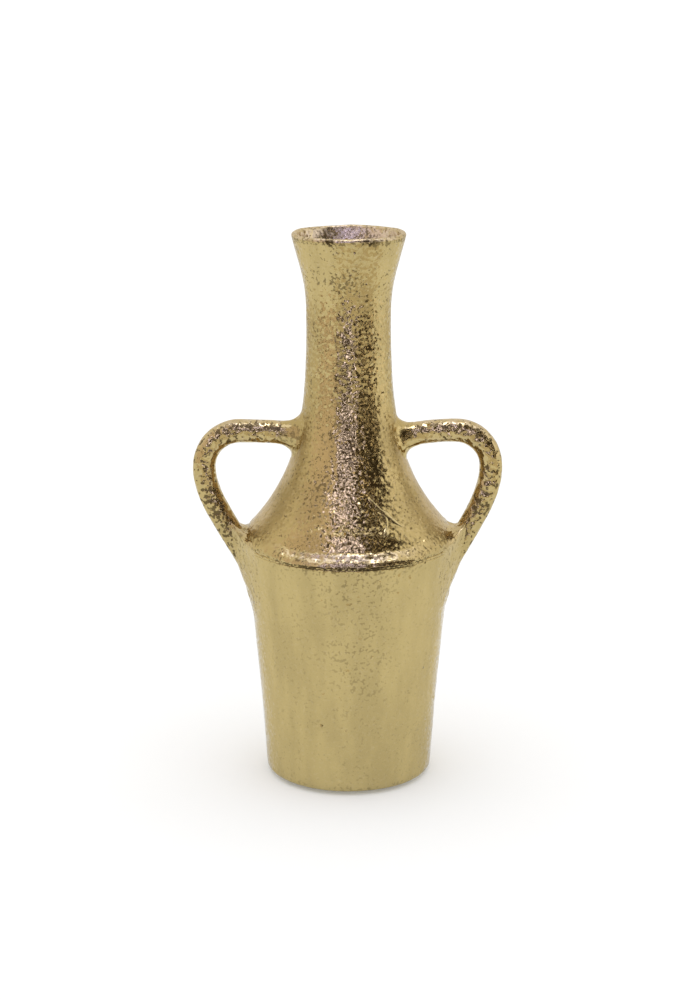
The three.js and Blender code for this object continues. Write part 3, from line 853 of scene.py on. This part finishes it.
def handle_weld(name, line, from_neck, widths, stretch, pull):
    """Fillet round one end of a bar, as wide as the widths above, beside and below it, with a longer reach
    along the bar by the stretch. The lower the pull into the corner, the fuller the fillet."""
    top, side, bottom = widths
    order = range(len(line) // 2) if from_neck else range(len(line) - 1, len(line) // 2, -1)
    away = 1 if from_neck else -1
    sections, bare_and_lightened = [], []
    for j in range(weld_around):
        angle = away * 2 * pi * j / weld_around
        girth = bar_radius(angle)

        def on_bar(i):
            return line[i] + bar_outward(line, i, angle) * girth

        meet = next(i for i in order if not inside_vase(on_bar(i)))
        meeting = on_bar(meet)
        from_bar = bar_outward(line, meet, angle)
        from_vase = vase_outward(meeting)
        over_vase = from_bar - from_vase * from_bar.dot(from_vase)
        if from_neck or from_bar.z < 0:
            reach = (bottom + (side - bottom) * from_bar.y ** 2) / over_vase.length
            spread = over_vase.normalized() * reach
        else:
            reach = top + (side - top) * abs(from_bar.y) ** side_sharpness
            up_slope = (upright - from_vase * from_vase.z).normalized()
            spread = up_slope * top * (1 - from_bar.y ** 2) ** 0.5 + Vector((0, side * from_bar.y, 0))
        toe = meet + away * round(min(reach * stretch, weld_bar_limit) / bar_gap)
        bar_toe = on_bar(toe)
        vase_toe = onto_vase(meeting + spread)
        toe_outward = vase_outward(vase_toe)
        inward = meeting - vase_toe
        inward -= toe_outward * inward.dot(toe_outward)
        curve = [bar_toe, bar_toe.lerp(meeting, pull), vase_toe + inward * pull, vase_toe]
        lumpiness = lumps_height * (1 - lumps_side_loss * from_bar.y ** 2)
        section = []
        for k in range(weld_steps + 1):
            share = k / weld_steps
            position = bezier(curve, share)
            outward = bar_outward(line, toe, angle).lerp(toe_outward, share).normalized()
            body = sin(pi * share)
            lumps = lumpiness * body * noise.noise(position / lumps_size)
            sink = toe_sink * (1 - body) ** toe_sharpness
            section.append(position + outward * (cast_relief(position) + lumps - sink))
        section += [
            onto_vase(vase_toe, weld_root),
            meeting - from_vase * weld_root - from_bar * weld_root,
            bar_toe - bar_outward(line, toe, angle) * weld_root,
        ]
        sections.append(section)
        # Painted light: the upper side of each foot weld, in the corner between leg and shoulder, is paler
        # against the dark reflections that gather there.
        bare_and_lightened += [0.0 if from_neck else corner_painted_light * max(0.0, from_bar.z)] * len(section)
    count = len(sections[0])
    faces = []
    for j in range(weld_around):
        here, ahead = j * count, (j + 1) % weld_around * count
        for k in range(count):
            step = (k + 1) % count
            faces.append((here + k, here + step, ahead + step, ahead + k))
    verts = [position for section in sections for position in section]
    tarnish_and_shade = [weld_tarnish * sin(pi * min(k, weld_steps) / weld_steps) for k in range(count)] * weld_around
    return piece(name, verts, faces, tarnish_and_shade, bare_and_lightened)


for hand, line in handle_lines.items():
    neck_widths = (neck_weld_widths[hand],) * 3
    foot_widths = foot_weld_tops[hand], foot_weld_sides[hand], foot_weld_bottoms[hand]
    neck_weld = handle_weld(
        f"{hand}_neck_weld_fillet", line, True, neck_widths, neck_weld_stretch, neck_weld_pull)
    foot_weld = handle_weld(
        f"{hand}_foot_weld_fillet", line, False, foot_widths, foot_weld_stretch, foot_weld_pull)
    for weld, end in ((neck_weld, "neck"), (foot_weld, "foot")):
        weld.data.materials.append(weld_gold)
        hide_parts(f"{hand}_{end}_weld")
        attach(weld, "root")

# Felt pads
# Four stamped discs of dark pressed felt, with a fuzzy cut edge.
# They are stuck under the foot ring so that it doesn't scratch a table.
felt_round = 0.0006
felt_around = 96
felt_fuzz_size, felt_fuzz = 0.0005, 0.00012
felt_dark, felt_pale = (0.045, 0.036, 0.028, 1), (0.12, 0.1, 0.082, 1)
felt_sheen = 0.4
fibre_size, fibre_depth = 0.0004, 0.0003
clump_size, clump_dull, clump_flat = 0.003, 0.85, 1.0
felt_edge = 0.3, 0.7

felt = bpy.data.materials.new("pressed_felt")
felt.use_nodes = True
felt_tree = felt.node_tree
felt_place = felt_tree.nodes.new("ShaderNodeTexCoord").outputs["Object"]
fibres = add_noise(felt_tree, felt_place, fibre_size, 4, 0.7)
clumps = add_noise(felt_tree, felt_place, clump_size, 2)
felt_tone = add_mix(felt_tree, add_ramp(felt_tree, fibres, *felt_edge), felt_dark, felt_pale)
felt_roughness = add_ramp(felt_tree, clumps, *felt_edge, clump_dull, clump_flat)
felt_bump = add_node(felt_tree, "ShaderNodeBump", {"Height": fibres, "Distance": fibre_depth})
felt_shader = felt_tree.nodes["Principled BSDF"]
felt_shader.inputs["Sheen Weight"].default_value = felt_sheen
felt_tree.links.new(felt_tone, felt_shader.inputs["Base Color"])
felt_tree.links.new(felt_roughness, felt_shader.inputs["Roughness"])
felt_tree.links.new(felt_bump.outputs["Normal"], felt_shader.inputs["Normal"])

for row in ("front", "rear"):
    for column in ("left", "right"):
        pad_low, pad_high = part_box(f"felt_pad_{row}_{column}")
        centre = (pad_low + pad_high) / 2
        pad_radius = (pad_high.x - pad_low.x) / 2
        face_radii = (0, pad_radius / 2, pad_radius - felt_round)
        pad_line = [
            *[spot(radius, pad_low.z) for radius in face_radii],
            spot(pad_radius, pad_low.z + felt_round),
            spot(pad_radius, pad_high.z - felt_round / 2),
            *[spot(radius, pad_high.z) for radius in reversed(face_radii)],
        ]
        pad = turned(f"felt_pad_{row}_{column}_disc", skinned(pad_line, skin=0), felt_around)
        for vertex in pad.data.vertices:
            vertex.co += Vector((centre.x, centre.y, 0))
            if vertex.co.z > pad_low.z + felt_round / 2:
                vertex.co += Vector((1, 1, 0)) * felt_fuzz * noise.noise(vertex.co / felt_fuzz_size)
        pad.data.materials.append(felt)
        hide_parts(f"felt_pad_{row}_{column}")
        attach(pad, "root")

# Studio floor
# A sheet of white paper, plain and matt, which keeps the vase's shadow.
# In reflections it is cool and bright near the vase and fades further out.
floor_size = 5.0
paper_tone = (0.85, 0.85, 0.85, 1)
paper_roughness = 0.9
paper_glow, paper_glow_tone = 0.15, (1, 1, 1, 1)
shine_tone, shine_near, shine_far = (0.54, 0.7, 1.0, 1), 0.5, 0.08
shine_fade = 1.1, 1.45

floor_corners = [(x * floor_size, y * floor_size, 0) for x, y in ((-1, -1), (1, -1), (1, 1), (-1, 1))]
floor_mesh = bpy.data.meshes.new("studio_floor")
floor_mesh.from_pydata(floor_corners, [], [(0, 1, 2, 3)])
studio_floor = bpy.data.objects.new("studio_floor", floor_mesh)
paper = bpy.data.materials.new("studio_paper")
paper.use_nodes = True
paper_tree = paper.node_tree
paper_shader = paper_tree.nodes["Principled BSDF"]
paper_shader.inputs["Roughness"].default_value = paper_roughness
paper_shader.inputs["Specular IOR Level"].default_value = 0
paper_shader.inputs["Base Color"].default_value = paper_tone
ray = paper_tree.nodes.new("ShaderNodeLightPath").outputs
floor_place = paper_tree.nodes.new("ShaderNodeTexCoord").outputs["Object"]
floor_reach = add_node(paper_tree, "ShaderNodeVectorMath", {0: floor_place}, operation="LENGTH")
shine = add_ramp(paper_tree, floor_reach.outputs["Value"], *shine_fade, shine_near, shine_far)
mirrored = add_math(paper_tree, "MAXIMUM", ray["Is Glossy Ray"], ray["Is Transmission Ray"])
seen_glow = add_math(paper_tree, "MULTIPLY", ray["Is Camera Ray"], paper_glow)
mirrored_glow = add_math(paper_tree, "MULTIPLY", mirrored, shine)
glow_strength = add_math(paper_tree, "ADD", seen_glow, mirrored_glow)
glow_tone = add_mix(paper_tree, mirrored, paper_glow_tone, shine_tone)
paper_tree.links.new(glow_strength, paper_shader.inputs["Emission Strength"])
paper_tree.links.new(glow_tone, paper_shader.inputs["Emission Color"])
floor_mesh.materials.append(paper)
bpy.context.scene.collection.objects.link(studio_floor)

# Studio cards and lamps
# The room that the metal mirrors, which only its reflections show: a window of small panes in front with a
# dark card at its right, a dim and a bright wall at the sides, a lamp grid above and strip lamps overhead.
# The cards stand on a sphere round the vase, and the sheet on the floor dulls its shine in front.
card_distance = 1.3
card_centre = Vector((0, 0, 0.15))
low_band, middle_band, high_band, top_band, wall_band = (-12, 2), (2, 28), (28, 57), (57, 72), (2, 57)
window_span, upper_window_span, grid_span = (-27, 16.5), (-32, 16.5), (-40, 62)
dark_span, upper_dark_span = (16.5, 77), (16.5, 68)
dim_wall_span, bright_wall_span = (-85, -27), (77, 110)
pane_size = 4
pane_tone = (3.4, 3.4, 6.4, 1)
bar_tone = (0.1, 0.08, 0.065, 1)
grid_tone = (2.2, 2.2, 2.6, 1)
dark_tone = (0.06, 0.05, 0.04, 1)
fleck_tone = (1.7, 1.5, 1.4, 1)
dim_tone = (1.02, 0.93, 0.97, 1)
post_tone = (0.2, 0.16, 0.12, 1)
wall_tone = (1.29, 1.31, 1.42, 1)
high_wall_tone = (1.42, 1.44, 1.55, 1)
shade_tone = (0.95, 0.92, 0.88, 1)
shade_ends, shade_left, shade_right = (0.42, 1.1), -30, 75
shade_height, shade_steps = 0.001, 30
strip_height = 1.6
strip_front, strip_back = -0.45, 0.2
strip_tone = (0.9, 0.95, 1.3, 1)
strip_lamps = {"left": (-0.85, -0.02, 2.0), "middle": (-0.02, 0.42, 6.2), "right": (0.42, 0.85, 2.4)}


def glowing(name, tone, strength=1.0):
    """Plain even glow for a card or a lamp's face."""
    glow = bpy.data.materials.new(name)
    glow.use_nodes = True
    glow.node_tree.nodes.clear()
    light = add_node(glow.node_tree, "ShaderNodeEmission", {"Color": tone, "Strength": strength})
    add_node(glow.node_tree, "ShaderNodeOutputMaterial", {"Surface": light.outputs[0]})
    return glow


def reflected_only(name, verts, faces, glow):
    """Stage piece that shows in reflections alone."""
    mesh = bpy.data.meshes.new(name)
    mesh.from_pydata(verts, [], faces)
    mesh.materials.append(glow)
    made = bpy.data.objects.new(name, mesh)
    bpy.context.scene.collection.objects.link(made)
    made.visible_camera = False
    made.visible_diffuse = False
    made.visible_shadow = False
    made.visible_transmission = False
    return made


def curved_card(name, sides, ends, glow, panes=None, open_share=0.0, seed=0):
    """Card on a sphere round the vase, between two azimuths from the front and two elevations. Panes of a
    second glow fill about the open share of it."""
    rows = round((ends[1] - ends[0]) / pane_size)
    columns = round((sides[1] - sides[0]) / pane_size)
    verts, faces = [], []
    for i in range(rows + 1):
        height = radians(ends[0] + (ends[1] - ends[0]) * i / rows)
        for j in range(columns + 1):
            turn = radians(sides[0] + (sides[1] - sides[0]) * j / columns)
            direction = Vector((sin(turn) * cos(height), -cos(turn) * cos(height), sin(height)))
            verts.append(card_centre + direction * card_distance)
    for i in range(rows):
        for j in range(columns):
            here, above = i * (columns + 1) + j, (i + 1) * (columns + 1) + j
            faces.append((here, here + 1, above + 1, above))
    card = reflected_only(name, verts, faces, glow)
    if panes:
        card.data.materials.append(panes)
        for i, face in enumerate(card.data.polygons):
            cell = Vector((i // columns + 0.5, i % columns + 0.5, seed + 0.5))
            face.material_index = noise.cell(cell) < 2 * open_share - 1


bar_glow = glowing("window_bars", bar_tone)
window_glows = bar_glow, glowing("window_panes", pane_tone)
grid_glows = bar_glow, glowing("lamp_grid_gaps", grid_tone)
dark_glows = glowing("dark_card_paint", dark_tone), glowing("dark_card_flecks", fleck_tone)
dim_glows = glowing("post_paint", post_tone), glowing("dim_card_paint", dim_tone)
for name, sides, ends, glows, open_share, seed in (
    ("window_sill", window_span, low_band, window_glows, 0.11, 1),
    ("lower_window", window_span, middle_band, window_glows, 0.2, 3),
    ("upper_window", upper_window_span, high_band, window_glows, 0.23, 5),
    ("lamp_grid", grid_span, top_band, grid_glows, 0.33, 11),
    ("low_dark_card", dark_span, low_band, dark_glows, 0.17, 6),
    ("middle_dark_card", dark_span, middle_band, dark_glows, 0.06, 9),
    ("high_dark_card", upper_dark_span, high_band, dark_glows, 0.08, 7),
    ("low_dim_wall", dim_wall_span, low_band, dim_glows, 0.75, 2),
    ("high_dim_wall", dim_wall_span, wall_band, dim_glows, 0.92, 2),
):
    curved_card(name, sides, ends, *glows, open_share, seed)
curved_card("low_bright_wall", bright_wall_span, low_band, glowing("bright_wall_paint", wall_tone))
curved_card("high_bright_wall", bright_wall_span, wall_band, glowing("high_wall_paint", high_wall_tone))

shade_span = shade_right - shade_left
shade_turns = [radians(shade_left + shade_span * i / shade_steps) for i in range(shade_steps + 1)]
shade_verts = [
    (reach * sin(turn), -reach * cos(turn), shade_height) for reach in shade_ends for turn in shade_turns
]
shade_row = len(shade_turns)
shade_faces = [(i, i + shade_row, i + shade_row + 1, i + 1) for i in range(shade_steps)]
reflected_only("front_shade", shade_verts, shade_faces, glowing("front_shade_tone", shade_tone))

for part, (left, right, strength) in strip_lamps.items():
    strip_corners = [
        (left, strip_front, strip_height), (right, strip_front, strip_height),
        (right, strip_back, strip_height), (left, strip_back, strip_height),
    ]
    strip_face = glowing(f"strip_lamp_{part}_face", strip_tone, strength)
    reflected_only(f"strip_lamp_{part}", strip_corners, [(3, 2, 1, 0)], strip_face)

# Studio surround
# An even white surround that lights the vase softly from all sides.
surround_tone, surround_strength = (1, 1, 1, 1), 1.1
surround = bpy.data.worlds.new("white_surround")
bpy.context.scene.world = surround
surround.use_nodes = True
backdrop = surround.node_tree.nodes["Background"]
backdrop.inputs["Color"].default_value = surround_tone
backdrop.inputs["Strength"].default_value = surround_strength
bpy.context.scene.view_settings.view_transform = "Standard"

# Camera
# A long lens a little above the lip, straight in front.
camera_place = Vector((0.0007, -1.1498, 0.4593))
camera_aim = Vector((0.0007, 0, 0.15655))
lens = bpy.data.cameras.new("photo_lens")
lens.lens = 77.43
lens.sensor_width = 36
photo_camera = bpy.data.objects.new("photo_camera", lens)
photo_camera.location = camera_place
photo_camera.rotation_mode = "QUATERNION"
photo_camera.rotation_quaternion = (camera_aim - camera_place).to_track_quat("-Z", "Y")
bpy.context.scene.collection.objects.link(photo_camera)
bpy.context.scene.camera = photo_camera
